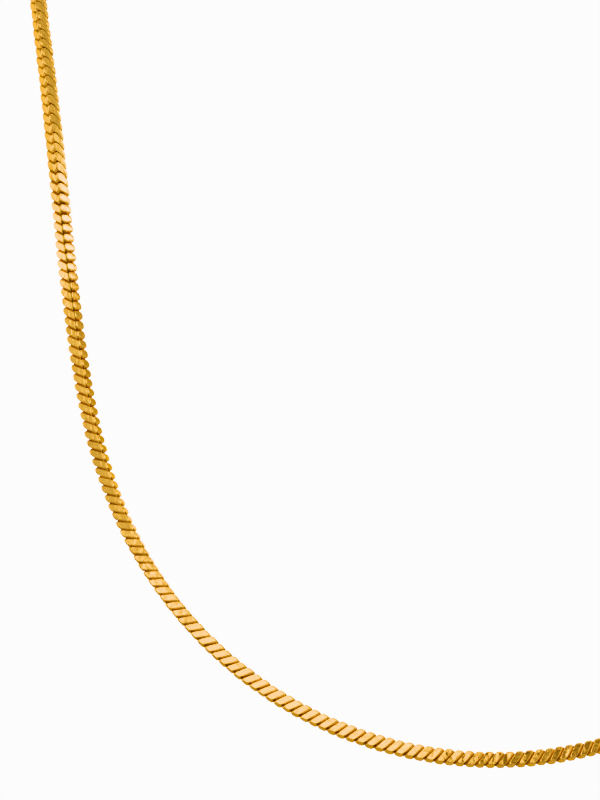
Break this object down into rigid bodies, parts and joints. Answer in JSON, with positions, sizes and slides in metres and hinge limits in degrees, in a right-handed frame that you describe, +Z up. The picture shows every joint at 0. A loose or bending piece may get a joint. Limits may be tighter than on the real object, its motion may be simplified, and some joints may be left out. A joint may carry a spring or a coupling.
{
  "type": "square herringbone neck chain",
  "caption": "Worn neck chain of square section with slanted flat-cut links on every face, a whole loop hanging in a deep U, closed at the nape by a plain clasp between jump rings and end caps.",
  "frame": {"origin": "middle of the nape, on the inner side of the loop, where it bears on the back of the neck", "axes": "+Z up, +X to the right as the front of the necklace is seen, -Y towards the front, so the chain hangs towards -Y and -Z"},
  "size_m": [0.1294, 0.0949, 0.1484],
  "materials": {
    "chain_gold": "gold plate, polished flat cuts with fine wear, darker between the links",
    "findings_gold": "gold plate, polished"
  },
  "bodies": {
    "root": {"chain": "chain_gold", "end_cap_left": "findings_gold", "end_cap_right": "findings_gold", "jump_ring_left": "findings_gold", "jump_ring_right": "findings_gold", "clasp": "findings_gold"}
  },
  "joints": []
}
